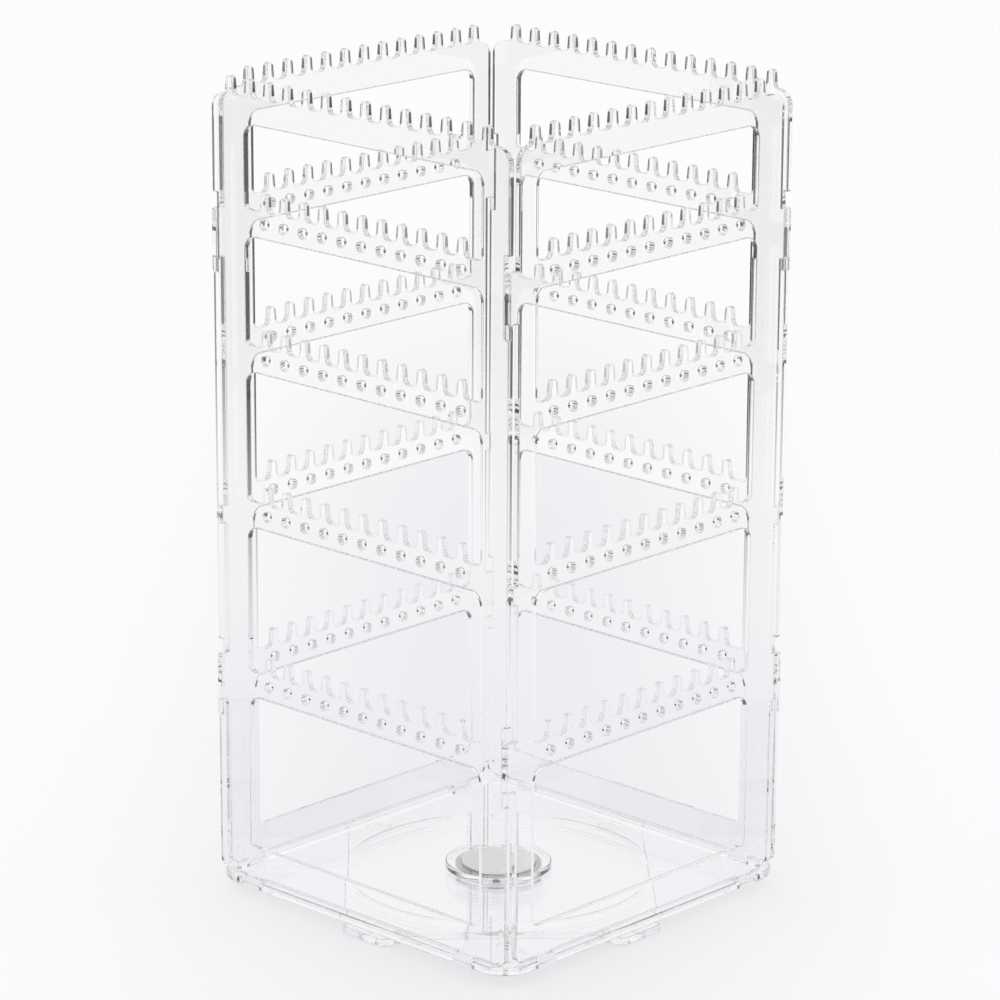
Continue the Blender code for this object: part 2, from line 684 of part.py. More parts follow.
def make_screw(parts, metal):
    """Pan-head screw, driven up through the foot plate into the axle."""
    shank = SCREW_DIAMETER / 2
    head = SCREW_HEAD_DIAMETER / 2
    tip = CAP_SEAT - HUB_CEILING / 2 - SEAT_GAP
    shoulder = SCREW_HEAD_BOTTOM + SCREW_HEAD_HEIGHT
    profile = [
        (0.0, tip),
        (shank - SCREW_CHAMFER, tip),
        (shank, tip - SCREW_CHAMFER),
        (shank, shoulder),
        (head, shoulder),
        (head, SCREW_HEAD_BOTTOM + SCREW_CHAMFER),
        (head - SCREW_CHAMFER, SCREW_HEAD_BOTTOM),
        (0.0, SCREW_HEAD_BOTTOM),
    ]
    return turned_object("pivot_screw", profile, parts, metal, steps=SMALL_STEPS)


def make_washer(parts, metal):
    """Washer between the screw's head and the foot plate's web."""
    outer = WASHER_DIAMETER / 2
    inner = SCREW_DIAMETER / 2 + SEAT_GAP
    profile = [
        (outer, WASHER_BOTTOM + WASHER_THICKNESS),
        (outer, WASHER_BOTTOM),
        (inner, WASHER_BOTTOM),
        (inner, WASHER_BOTTOM + WASHER_THICKNESS),
    ]
    return turned_object("pivot_washer", profile, parts, metal, steps=SMALL_STEPS)


def main():
    """Build the stand."""
    clear_scene()
    parts = new_collection(OBJECT_NAME)
    tools = new_collection(OBJECT_NAME + "_cutters")
    clear = (0.90, 0.91, 0.94)
    for name, wide, turn in (
        ("panel_front", True, 0),
        ("panel_right", False, 90),
        ("panel_back", True, 180),
        ("panel_left", False, 270),
    ):
        make_panel(name, wide, turn, parts, tools, make_material(name, clear, 0.03, alpha=0.4))
    make_tray(parts, tools, make_material("tray", clear, 0.04, alpha=0.4))
    make_hub_cap(parts, make_material("hub_cap", clear, 0.04, alpha=0.5))
    make_glide_ring(parts, make_material("glide_ring", (0.86, 0.86, 0.85), 0.4))
    make_foot_plate(parts, tools, make_material("foot_plate", clear, 0.05, alpha=0.4))
    make_pads(parts, make_material("pad", (0.80, 0.80, 0.80), 0.6))
    make_screw(parts, make_material("pivot_screw", (0.62, 0.62, 0.63), 0.3, metallic=1.0))
    make_washer(parts, make_material("pivot_washer", (0.62, 0.62, 0.63), 0.35, metallic=1.0))


main()
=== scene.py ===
import math

import bmesh
import bpy
from bpy.props import FloatProperty, FloatVectorProperty, IntProperty, PointerProperty
from mathutils import Euler, Matrix, Vector


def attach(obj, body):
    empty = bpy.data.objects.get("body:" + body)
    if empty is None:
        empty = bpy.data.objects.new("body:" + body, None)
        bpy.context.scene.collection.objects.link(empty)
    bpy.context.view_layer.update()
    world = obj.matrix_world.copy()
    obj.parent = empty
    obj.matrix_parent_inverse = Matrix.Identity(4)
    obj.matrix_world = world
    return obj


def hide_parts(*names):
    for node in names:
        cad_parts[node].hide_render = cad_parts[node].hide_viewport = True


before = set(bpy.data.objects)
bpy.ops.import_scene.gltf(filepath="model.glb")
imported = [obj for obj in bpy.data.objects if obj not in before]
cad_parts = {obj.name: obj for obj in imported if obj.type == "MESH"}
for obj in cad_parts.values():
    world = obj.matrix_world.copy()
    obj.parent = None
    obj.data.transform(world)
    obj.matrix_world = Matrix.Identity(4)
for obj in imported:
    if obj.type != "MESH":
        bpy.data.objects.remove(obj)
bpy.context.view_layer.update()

bl_info = {
    "name": "Clear rotating jewelry stand",
    "version": (1, 0, 0),
    "blender": (4, 5, 0),
    "location": "View3D > Sidebar > Jewelry stand",
    "description": "Dresses the clear jewelry stand with fine mouldings and sets its studio",
    "category": "Object",
}

# Metres. The tower's sizes are those of the solids that the pieces stand for.
SEAT_GAP = 0.0003
CUT_EXTRA = 0.002
TOWER_WIDTH = 0.152
PANEL_THICKNESS = 0.0025
PANEL_HEIGHT = 0.3105
WIDE_END_INSET = 0.0006
CORNER_GAP = 0.0028
TOP_CORNER_RADIUS = 0.0056
BOTTOM_CORNER_RADIUS = 0.0045
BOTTOM_RELIEF = 0.0003

TOOTH_PITCH = 0.010
TOOTH_HEIGHT = 0.007
TOOTH_TIP_RISE = 0.0012
WIDE_TEETH = 14
NARROW_TEETH = 13
ROW_TEETH = 11
ROW_HEIGHTS = (0.0786, 0.1456, 0.2057, 0.2571)
RAIL_ABOVE_HOLE = 0.0047
RAIL_BELOW_HOLE = 0.0054
TOP_BAND = 0.010
BOTTOM_BAND = 0.0125
WIDE_WINDOW_WIDTH = 0.1205
NARROW_WINDOW_WIDTH = 0.118
WIDE_WINDOW_SHIFT = 0.0019
NARROW_WINDOW_SHIFT = 0.0024
WIDE_CROWN_SHIFT = -0.0011
NARROW_CROWN_SHIFT = 0.0023
WINDOW_TOP_RADIUS = 0.005
WINDOW_BOTTOM_RADIUS = 0.002

HOOK_TOPS = (0.0863, 0.2597)
HOOK_NECK = 0.0190
HOOK_DROP = 0.005
LIP_THICKNESS = 0.0013
HOOK_RADIUS = 0.0010
LIFT = 0.0055
LIFT_SPARE = 0.0005
NUB_BOTTOM = 0.1376
NUB_HEIGHT = 0.007
TAB_WIDTH = 0.009
TAB_SPAN = 0.113
TAB_SHIFT = 0.0013
TAB_LENGTH = 0.003

FOOT_REACH = 0.079
FOOT_WIDTH = 0.0238
FOOT_CORNER_RADIUS = 0.004
FOOT_ARM = 0.072
FOOT_SHIFT = 0.0043
SIDE_HOLLOW = 0.0015
FOOT_BOTTOM = 0.0003
FOOT_TOP = 0.0033
TURRET_TOP = 0.0061
TURRET_DIAMETER = 0.034
TURRET_WALL = 0.002
AXLE_BORE_RADIUS = 0.0054
SCREW_WELL_RADIUS = 0.0054
SCREW_BORE_RADIUS = 0.0019
WEB_BOTTOM = 0.0026
WEB_THICKNESS = 0.0012
PAD_DIAMETER = 0.010
PAD_THICKNESS = 0.0013
PAD_RADIUS_FROM_AXIS = 0.070

TRAY_BOTTOM = 0.0045
TRAY_TOP = 0.0077
TRAY_WIDTH = 0.1565
TRAY_CORNER_RADIUS = 0.013
FLOOR_THICKNESS = 0.0018
EDGE_BAND = 0.007
RIB_WIDTH = 0.0014
RING_RIB_RADIUS = 0.05865
HUB_DIAMETER = 0.041
HUB_TOP = 0.0102
HUB_WALL = 0.0018
HUB_CEILING_BOTTOM = 0.0075
CAP_SEAT = 0.0089
AXLE_DIAMETER = 0.010
AXLE_BOTTOM = 0.0041
SCREW_PILOT_RADIUS = 0.0018
PEG_WIDTH = 0.0045
PEG_HEIGHT = 0.008
PEG_THICKNESS = 0.0018
PEG_CLEARANCE = 0.0035
CAP_DIAMETER = 0.029
CAP_THICKNESS = 0.001

PANEL_BOTTOM = TRAY_TOP + SEAT_GAP
WIDE_HALF = TOWER_WIDTH / 2 - WIDE_END_INSET
NARROW_HALF = TOWER_WIDTH / 2 - PANEL_THICKNESS - CORNER_GAP
PANEL_OFFSET = TOWER_WIDTH / 2 - PANEL_THICKNESS / 2
NOTCH_DEPTH = PANEL_THICKNESS + SEAT_GAP - WIDE_END_INSET
RECESS_DEPTH = LIP_THICKNESS + SEAT_GAP

# The four walls: name, turn about the stand's axis, whether it is a wide one, and its body.
WALLS = (
    ("front", 0, True, "turntable"),
    ("right", 90, False, "right_wall"),
    ("back", 180, True, "turntable"),
    ("left", 270, False, "left_wall"),
)
QUARTERS = (0, 90, 180, 270)

# Steps of the arcs.
TIP_ARC = 3
FINE_ARC = 4
HOOK_ARC = 5
CORNER_ARC = 8
TOP_CORNER_ARC = 10
TRAY_CORNER_ARC = 14
WIDE_ARC = 16
POCKET_SIDES = 32
CYLINDER_SIDES = 64
TURNED_STEPS = 96
RING_STEPS = 128

# A turned rim has one point between its ends, this share of its radius in from the corner.
RIM_SHARE = 0.3
# How square to its axis a face is: flat above the first limit, a wall below the second, else a rim.
FLAT_LIMIT = 0.99995
WALL_LIMIT = 0.02
SHARP_ANGLE = 50.0
# A plate's walls before their rims are rounded.
STEEP_LIMIT = 0.1
LEVEL_TOLERANCE = 0.000002
WELD_DISTANCE = 0.000001

UP = Vector((0.0, 0.0, 1.0))
STAND_UP = Matrix.Rotation(math.radians(90), 4, "X")

# Typical of polystyrene.
PLASTIC_IOR = 1.59

# The studio: white paper with painted shade towards both sides of the line of view where it is seen through
# the plastic, and close round the stand, in a room with dark walls and a bright ceiling that comes down lower
# before and behind the stand.
FLOOR_WIDTH = 4.0
FLOOR_FRONT = 2.0
FLOOR_BACK = 6.0
PAPER_THICKNESS = 0.001
BRIGHT_REACH = 0.24
DARK_REACH = 0.85
WALL_EDGE = (-0.12, 0.05)
DARK_WALL_RISE = 0.55
LOWER_ALONG_VIEW = 0.25
ALONG_VIEW = (0.5, 0.8)
SHADE_REACH = 0.75
SHADE_CORE = 0.10
SHADOW_PLACE = 0.35
SHADOW_REACH = 0.85
SHADOW_WIDTH = 0.20
SHADOW_SHARE = 0.85
CAMERA_PLACE = (1.1113, -1.1718, 0.6257)
CAMERA_TURN = (73.740, -0.299, 43.576)
CAMERA_LENS = 160.44
VIEW_TURN = 43.5
EVEN_LIGHT_SHARE = 0.75
BOUNCES = 96


class StandSizes(bpy.types.PropertyGroup):
    """Fine sizes of the mouldings."""
    edge_round: FloatProperty(
        name="Edge round", description="Radius on the moulded edges of the panels",
        default=0.00025, min=0.0001, max=0.0006, unit="LENGTH")
    rim_round: FloatProperty(
        name="Rim round", description="Radius on the edges of the tray and the foot plate",
        default=0.0005, min=0.0001, max=0.001, unit="LENGTH")
    tooth_root: FloatProperty(
        name="Tooth root", description="Width of a tooth at its foot",
        default=0.0042, min=0.003, max=0.006, unit="LENGTH")
    tooth_tip: FloatProperty(
        name="Tooth tip", description="Width of a tooth below its rounded tip",
        default=0.0032, min=0.002, max=0.005, unit="LENGTH")
    valley_fillet: FloatProperty(
        name="Valley fillet", description="Radius between a tooth and the rail",
        default=0.0017, min=0.0005, max=0.0025, unit="LENGTH")
    hole_diameter: FloatProperty(
        name="Hole", description="Diameter of the holes for earring posts",
        default=0.0038, min=0.002, max=0.005, unit="LENGTH")
    hole_sides: IntProperty(
        name="Hole sides", description="Facets round each hole", default=20, min=8, max=48)


class StandColours(bpy.types.PropertyGroup):
    """Colours of the plastics and of the studio, as sRGB values."""
    clear: FloatVectorProperty(
        name="Clear plastic", description="What the surface of the clear plastic lets through",
        subtype="COLOR_GAMMA", size=3, min=0.0, max=1.0, default=(1.0, 1.0, 1.0))
    glide: FloatVectorProperty(
        name="Glide ring", description="Low-friction plastic under the hub",
        subtype="COLOR_GAMMA", size=3, min=0.0, max=1.0, default=(0xFA / 255, 0xFA / 255, 0xF9 / 255))
    steel: FloatVectorProperty(
        name="Screw", description="Zinc-plated steel",
        subtype="COLOR_GAMMA", size=3, min=0.0, max=1.0, default=(0xBE / 255, 0xBE / 255, 0xC0 / 255))
    paper: FloatVectorProperty(
        name="Paper", description="Sheet that the stand is on",
        subtype="COLOR_GAMMA", size=3, min=0.0, max=1.0, default=(0xFD / 255, 0xFD / 255, 0xFD / 255))
    # Painted shade: a cool grey painted on the paper close round the stand, seen through the plastic and in a
    # soft band behind it.
    shade: FloatVectorProperty(
        name="Shade", description="Paper close round the stand, seen through the plastic",
        subtype="COLOR_GAMMA", size=3, min=0.0, max=1.0, default=(0xEC / 255, 0xEC / 255, 0xF1 / 255))
    # The room's colour is also painted as shade on the paper towards both sides of the line of view, where
    # the paper is seen through the plastic.
    room: FloatVectorProperty(
        name="Room", description="Darker room past the sides of the paper",
        subtype="COLOR_GAMMA", size=3, min=0.0, max=1.0, default=(0x44 / 255, 0x44 / 255, 0x4C / 255))


def linear(colour):
    """An sRGB colour as linear RGBA."""
    parts = [c / 12.92 if c <= 0.04045 else ((c + 0.055) / 1.055) ** 2.4 for c in colour]
    return (*parts, 1.0)


def add_node(tree, kind, settings=(), links=()):
    """Add a node, set its sockets and properties, and link (output, socket) pairs into it."""
    node = tree.nodes.new(kind)
    for key, value in dict(settings).items():
        if isinstance(key, str) and hasattr(node, key):
            setattr(node, key, value)
        else:
            node.inputs[key].default_value = value
    for source, socket in links:
        tree.links.new(source, node.inputs[socket])
    return node


def new_material(name):
    """A material with an empty node tree."""
    material = bpy.data.materials.new(name)
    material.use_nodes = True
    material.node_tree.nodes.clear()
    return material, material.node_tree


def even_finish(name, colour, settings):
    """One even finish; the settings are those of the shader's sockets."""
    material, tree = new_material(name)
    shader = add_node(tree, "ShaderNodeBsdfPrincipled", {"Base Color": linear(colour), **settings})
    add_node(tree, "ShaderNodeOutputMaterial", links=((shader.outputs["BSDF"], "Surface"),))
    return material


def clear_plastic(name, colour, roughness, clearness=1.0):
    """Injection-moulded see-through plastic; a lower clearness makes it milky."""
    return even_finish(name, colour, {
        "Roughness": roughness, "IOR": PLASTIC_IOR, "Transmission Weight": clearness})


def arc(centre, radius, start, end, steps):
    """Points of an arc, both ends included; angles in degrees."""
    points = []
    for step in range(steps + 1):
        angle = math.radians(start + (end - start) * step / steps)
        points.append((centre[0] + radius * math.cos(angle), centre[1] + radius * math.sin(angle)))
    return points


def mirrored(points):
    """The same points on the other side of the centre line, in reverse order."""
    return [(-x, y) for x, y in reversed(points)]


def tooth(sizes, centre, valley):
    """One tooth from left to right: filleted root, tapered flank and rounded tip, then the same mirrored."""
    root = sizes.tooth_root / 2
    tip = sizes.tooth_tip / 2
    straight = TOOTH_HEIGHT - TOOTH_TIP_RISE
    lean = math.atan((root - tip) / straight)
    fillet = sizes.valley_fillet
    pivot = (-root + fillet * math.tan(lean) - fillet / math.cos(lean), fillet)
    left = arc(pivot, fillet, -90, -math.degrees(lean), FINE_ARC)
    for step in range(TIP_ARC):
        angle = math.radians(90 * step / TIP_ARC)
        left.append((-tip * math.cos(angle), straight + TOOTH_TIP_RISE * math.sin(angle)))
    points = left + [(0.0, TOOTH_HEIGHT)] + mirrored(left)
    return [(centre + x, valley + y) for x, y in points]


def tooth_row(sizes, middle, count, valley):
    """A row of teeth from left to right."""
    points = []
    for number in range(count):
        points += tooth(sizes, middle + (number - (count - 1) / 2) * TOOTH_PITCH, valley)
    return points


def window_edges():
    """Lower and upper edge of each window, from the bottom window to the top one."""
    lower = [BOTTOM_BAND] + [height + RAIL_ABOVE_HOLE for height in ROW_HEIGHTS]
    upper = [height - RAIL_BELOW_HOLE for height in ROW_HEIGHTS]
    upper.append(PANEL_HEIGHT - TOOTH_HEIGHT - TOP_BAND)
    return list(zip(lower, upper))


def window_loop(sizes, middle, half, lower, upper, toothed):
    """One window, drawn anticlockwise from its lower left corner."""
    small = WINDOW_BOTTOM_RADIUS
    large = WINDOW_TOP_RADIUS
    points = arc((middle - half + small, lower + small), small, 180, 270, FINE_ARC)
    if toothed:
        points += tooth_row(sizes, middle, ROW_TEETH, lower)
    points += arc((middle + half - small, lower + small), small, -90, 0, FINE_ARC)
    points += arc((middle + half - large, upper - large), large, 0, 90, CORNER_ARC)
    points += arc((middle - half + large, upper - large), large, 90, 180, CORNER_ARC)
    return points


def hole_loops(sizes, middle):
    """The holes of all rows, one below each tooth."""
    loops = []
    turn = 360 - 360 / sizes.hole_sides
    for height in ROW_HEIGHTS:
        for number in range(ROW_TEETH):
            x = middle + (number - (ROW_TEETH - 1) / 2) * TOOTH_PITCH
            loops.append(arc((x, height), sizes.hole_diameter / 2, 0, turn, sizes.hole_sides - 1))
    return loops


def tab_points(middle, side):
    """One tab below the bottom edge, left to right; its root is relieved on the panel's inner side."""
    half = TAB_WIDTH / 2
    return [
        (middle - half, BOTTOM_RELIEF if side > 0 else 0.0),
        (middle - half + SEAT_GAP, -TAB_LENGTH),
        (middle + half - SEAT_GAP, -TAB_LENGTH),
        (middle + half, BOTTOM_RELIEF if side < 0 else 0.0),
    ]


def notch_side(half):
    """Right end of a wide panel from bottom to top, with a notch for each hook."""
    points = []
    for top in HOOK_TOPS:
        bottom = top - HOOK_NECK - SEAT_GAP
        crown = top + LIFT + LIFT_SPARE
        inner = half - NOTCH_DEPTH
        points += [(half, bottom), (inner, bottom), (inner, crown), (half, crown)]
    return points


def hook_side(half):
    """Right end of a narrow panel from bottom to top, with a hook, a nub and a hook."""
    reach = TOWER_WIDTH / 2
    lip = reach - LIP_THICKNESS
    nub = TOWER_WIDTH / 2 - PANEL_THICKNESS - SEAT_GAP
    ends = []
    for top in HOOK_TOPS:
        neck = top - HOOK_NECK
        toe = neck - HOOK_DROP
        ends.append([(half, neck), (lip, neck), (lip, toe), (reach, toe)]
                    + arc((reach - HOOK_RADIUS, top - HOOK_RADIUS), HOOK_RADIUS, 0, 90, HOOK_ARC)
                    + [(half, top)])
    lower, upper = ends
    nub_top = NUB_BOTTOM + NUB_HEIGHT
    middle = [(half, NUB_BOTTOM), (nub, NUB_BOTTOM), (nub, nub_top), (half, nub_top)]
    return lower + middle + upper


def panel_outline(sizes, half, side, teeth, crown_middle, tab_middle):
    """Outer edge of a panel, drawn anticlockwise from the middle of its bottom edge."""
    radius = BOTTOM_CORNER_RADIUS
    low = arc((half - radius, radius), radius, -90, 0, CORNER_ARC)
    radius = TOP_CORNER_RADIUS
    valley = PANEL_HEIGHT - TOOTH_HEIGHT
    high = arc((half - radius, valley - radius), radius, 0, 90, TOP_CORNER_ARC)
    right = low + side + high
    left = mirrored(right)
    crown = list(reversed(tooth_row(sizes, crown_middle, teeth, valley)))
    # The fillet of a tooth that reaches the corner takes the place of the last point of the corner's arc.
    if crown[0][0] > right[-1][0]:
        right.pop()
    if crown[-1][0] < left[0][0]:
        left.pop(0)
    right_tab = tab_points(tab_middle + TAB_SPAN / 2, 1)
    left_tab = tab_points(tab_middle - TAB_SPAN / 2, -1)
    return left_tab + right_tab + right + crown + left


def filled_faces(name, loops):
    """Flat faces in the XY plane between nested loops, from a filled curve."""
    curve = bpy.data.curves.new(name + "_curve", "CURVE")
    curve.dimensions = "2D"
    curve.fill_mode = "BOTH"
    for loop in loops:
        spline = curve.splines.new("POLY")
        spline.points.add(len(loop) - 1)
        for point, (x, y) in zip(spline.points, loop):
            point.co = (x, y, 0.0, 1.0)
        spline.use_cyclic_u = True
    drawing = bpy.data.objects.new(name + "_drawing", curve)
    bpy.context.scene.collection.objects.link(drawing)
    graph = bpy.context.evaluated_depsgraph_get()
    mesh = bpy.data.meshes.new_from_object(drawing.evaluated_get(graph))
    bpy.data.objects.remove(drawing, do_unlink=True)
    work = bmesh.new()
    work.from_mesh(mesh)
    bpy.data.meshes.remove(mesh)
    bmesh.ops.remove_doubles(work, verts=work.verts, dist=WELD_DISTANCE)
    downward = [face for face in work.faces if face.normal.z < 0.0]
    if len(downward) < len(work.faces):
        bmesh.ops.delete(work, geom=downward, context="FACES")
    bmesh.ops.recalc_face_normals(work, faces=work.faces)
    return work


def plate(name, loops, thickness):
    """A plate that fills the loops, centred on the XY plane."""
    work = filled_faces(name, loops)
    extruded = bmesh.ops.extrude_face_region(work, geom=work.faces[:], use_keep_orig=True)
    moved = [item for item in extruded["geom"] if isinstance(item, bmesh.types.BMVert)]
    bmesh.ops.translate(work, verts=moved, vec=(0.0, 0.0, thickness))
    bmesh.ops.translate(work, verts=work.verts, vec=(0.0, 0.0, -thickness / 2))
    bmesh.ops.recalc_face_normals(work, faces=work.faces)
    return work


def is_wall(face):
    """Whether a face stands on edge; an empty face has no normal."""
    return face.normal.length > 0.0 and abs(face.normal.z) < STEEP_LIMIT


def round_rims(work, radius):
    """Round the edges between the plate's flat faces and its walls."""
    rims = [edge for edge in work.edges if sum(is_wall(face) for face in edge.link_faces) == 1]
    bmesh.ops.bevel(work, geom=rims, offset=radius, offset_type="OFFSET", segments=2, profile=0.5,
                    affect="EDGES", material=-1, clamp_overlap=False)
    refill_flats(work)


def refill_flats(work):
    """Fill each flat level of a plate anew, so that no thin triangle is left folded over by the rounding."""
    work.normal_update()
    levels = {}
    for face in work.faces:
        heights = [vert.co.z for vert in face.verts]
        if max(heights) - min(heights) < LEVEL_TOLERANCE:
            levels.setdefault(round(heights[0] / LEVEL_TOLERANCE), []).append(face)
    for faces in levels.values():
        inside = set(faces)
        upward = sum(face.calc_area() * face.normal.z for face in faces) > 0.0
        rim = [edge for edge in work.edges if sum(face in inside for face in edge.link_faces) == 1]
        bmesh.ops.delete(work, geom=faces, context="FACES_KEEP_BOUNDARY")
        filled = bmesh.ops.triangle_fill(
            work, use_beauty=True, edges=rim, normal=(0.0, 0.0, 1.0 if upward else -1.0))
        for face in filled["geom"]:
            if isinstance(face, bmesh.types.BMFace):
                face.normal_update()
                if (face.normal.z > 0.0) != upward:
                    face.normal_flip()


def to_object(name, work, matrix=None):
    """Turn a bmesh into an object at the origin, with its place in its mesh."""
    if matrix:
        work.transform(matrix)
    mesh = bpy.data.meshes.new(name)
    work.to_mesh(mesh)
    work.free()
    thing = bpy.data.objects.new(name, mesh)
    bpy.context.scene.collection.objects.link(thing)
    return thing


def turned(name, profile, steps=TURNED_STEPS):
    """A closed profile of (radius, height) points spun about Z."""
    work = bmesh.new()
    corners = [work.verts.new((radius, 0.0, height)) for radius, height in profile]
    for first, second in zip(corners, corners[1:] + corners[:1]):
        if first.co.x > 0.0 or second.co.x > 0.0:
            work.edges.new((first, second))
    bmesh.ops.spin(work, geom=work.verts[:] + work.edges[:], cent=(0.0, 0.0, 0.0), axis=UP,
                   dvec=(0.0, 0.0, 0.0), angle=math.tau, steps=steps, use_merge=True)
    bmesh.ops.remove_doubles(work, verts=work.verts, dist=WELD_DISTANCE)
    bmesh.ops.recalc_face_normals(work, faces=work.faces)
    return to_object(name, work)


def box(name, lowest, highest, matrix=None):
    """A box between two corners."""
    work = bmesh.new()
    bmesh.ops.create_cube(work, size=1.0)
    size = Vector(highest) - Vector(lowest)
    middle = (Vector(highest) + Vector(lowest)) / 2
    work.transform(Matrix.Translation(middle) @ Matrix.Diagonal((*size, 1.0)))
    return to_object(name, work, matrix)


def cylinder(name, radius, bottom, top, steps=CYLINDER_SIDES, place=(0.0, 0.0)):
    """An upright cylinder."""
    work = bmesh.new()
    bmesh.ops.create_cone(work, cap_ends=True, segments=steps, radius1=radius, radius2=radius,
                          depth=top - bottom)
    return to_object(name, work, Matrix.Translation((*place, (top + bottom) / 2)))


def settle(target):
    """Turn what the modifiers make into one plain mesh."""
    graph = bpy.context.evaluated_depsgraph_get()
    mesh = bpy.data.meshes.new_from_object(target.evaluated_get(graph))
    target.modifiers.clear()
    old = target.data
    target.data = mesh
    bpy.data.meshes.remove(old)
    mesh.name = target.name


def carve(target, steps):
    """Join or cut other meshes one after another, and leave one plain mesh."""
    for operation, tool in steps:
        modifier = target.modifiers.new(operation.lower(), "BOOLEAN")
        modifier.operation = operation
        modifier.object = tool
        modifier.solver = "EXACT"
    settle(target)
    for _, tool in steps:
        bpy.data.objects.remove(tool, do_unlink=True)


def shade(thing, axis):
    """Shade flat faces, walls and rims each smoothly by themselves; the axis is square to the flat faces."""
    work = bmesh.new()
    work.from_mesh(thing.data)
    work.normal_update()
    kinds = {}
    for face in work.faces:
        face.smooth = True
        rise = abs(face.normal.dot(axis))
        kinds[face] = "flat" if rise > FLAT_LIMIT else "wall" if rise < WALL_LIMIT else "rim"
    for edge in work.edges:
        same = len({kinds[face] for face in edge.link_faces}) == 1
        edge.smooth = same and edge.calc_face_angle(math.pi) < math.radians(SHARP_ANGLE)
    work.to_mesh(thing.data)
    work.free()
    modifier = thing.modifiers.new("even_normals", "WEIGHTED_NORMAL")
    modifier.mode = "FACE_AREA"
    modifier.keep_sharp = True
    settle(thing)


def finish_piece(thing, body, slot, material, *nodes, axis=UP):
    """Shade, colour and hang a piece on its body, in place of the CAD nodes that it stands for."""
    shade(thing, axis)
    mesh = thing.data
    mesh.materials.clear()
    mesh.materials.append(material)
    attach(thing, body)
    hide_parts(*nodes)


def spin_z(degrees):
    """Rotation about the stand's axis."""
    return Matrix.Rotation(math.radians(degrees), 4, "Z")


def rounded_square(width, radius, steps):
    """Outline of a square with round corners."""
    half = width / 2 - radius
    points = []
    for turn, (x, y) in zip(QUARTERS, ((half, half), (-half, half), (-half, -half), (half, -half))):
        points += arc((x, y), radius, turn, turn + 90, steps)
    return points


def foot_shift(turn):
    """Shift of a foot along its side, anticlockwise round the axis; angle in degrees."""
    return FOOT_SHIFT if turn % 180 else -FOOT_SHIFT


def foot_outline():
    """Outline of the foot plate: four feet, with two hollowed and two straight sides between them."""
    half = FOOT_WIDTH / 2
    start = Vector((FOOT_ARM, half + FOOT_SHIFT))
    end = Vector((half + FOOT_SHIFT, FOOT_ARM))
    chord = (end - start).length
    bow = (chord * chord / 4 + SIDE_HOLLOW * SIDE_HOLLOW) / (2 * SIDE_HOLLOW)
    centre = (start + end) / 2 + Vector((1.0, 1.0)).normalized() * (bow - SIDE_HOLLOW)
    spread = math.degrees(math.asin(chord / 2 / bow))
    radius = FOOT_CORNER_RADIUS
    points = []
    for turn in QUARTERS:
        shift = foot_shift(turn)
        quarter = arc((FOOT_REACH - radius, shift - half + radius), radius, -90, 0, CORNER_ARC)
        quarter += arc((FOOT_REACH - radius, shift + half - radius), radius, 0, 90, CORNER_ARC)
        if shift > 0.0:
            quarter += arc(centre, bow, 225 + spread, 225 - spread, WIDE_ARC)
        spin = Matrix.Rotation(math.radians(turn), 2)
        points += [tuple(spin @ Vector(point)) for point in quarter]
    return points


class STAND_OT_panels(bpy.types.Operator):
    """Build the four toothed and perforated walls"""
    bl_idname = "stand.panels"
    bl_label = "Panels"

    def execute(self, context):
        sizes = context.scene.stand_sizes
        colours = context.scene.stand_colours
        # Clear polystyrene, moulded in a polished tool: glassy faces and bright, crisp edges.
        material = clear_plastic("moulded_clear_polystyrene", colours.clear, 0.0)
        place = Matrix.Translation((0.0, -PANEL_OFFSET, PANEL_BOTTOM))
        for label, turn, wide, body in WALLS:
            half = WIDE_HALF if wide else NARROW_HALF
            sign = 1.0 if wide else -1.0
            side = notch_side(half) if wide else hook_side(half)
            teeth = WIDE_TEETH if wide else NARROW_TEETH
            opening = WIDE_WINDOW_WIDTH if wide else NARROW_WINDOW_WIDTH
            middle = sign * (WIDE_WINDOW_SHIFT if wide else NARROW_WINDOW_SHIFT)
            crown = sign * (WIDE_CROWN_SHIFT if wide else NARROW_CROWN_SHIFT)
            loops = [panel_outline(sizes, half, side, teeth, crown, -sign * TAB_SHIFT)]
            for number, (lower, upper) in enumerate(window_edges()):
                loops.append(window_loop(sizes, middle, opening / 2, lower, upper, toothed=number > 0))
            loops += hole_loops(sizes, middle)
            wall = to_object("wall_" + label, plate(label, loops, PANEL_THICKNESS))
            if wide:
                carve(wall, self.recesses(label, half))
            work = bmesh.new()
            work.from_mesh(wall.data)
            work.normal_update()
            round_rims(work, sizes.edge_round)
            work.transform(spin_z(turn) @ place @ STAND_UP)
            work.to_mesh(wall.data)
            work.free()
            finish_piece(wall, body, "clear_plastic", material, "panel_" + label,
                         axis=spin_z(turn) @ Vector((0.0, 1.0, 0.0)))
        return {"FINISHED"}

    def recesses(self, label, half):
        """Cutters for the shallow seats that the hooks' lips drop over."""
        outer = PANEL_THICKNESS / 2
        cuts = []
        for number, top in enumerate(HOOK_TOPS):
            notch = top - HOOK_NECK - SEAT_GAP
            for side in (-1.0, 1.0):
                inner = side * (half - NOTCH_DEPTH)
                edge = side * (half + CUT_EXTRA)
                low = (min(inner, edge), notch - HOOK_DROP, outer - RECESS_DEPTH)
                high = (max(inner, edge), notch + CUT_EXTRA, outer + CUT_EXTRA)
                cuts.append(("DIFFERENCE", box(f"recess_{label}_{number}", low, high)))
        return cuts


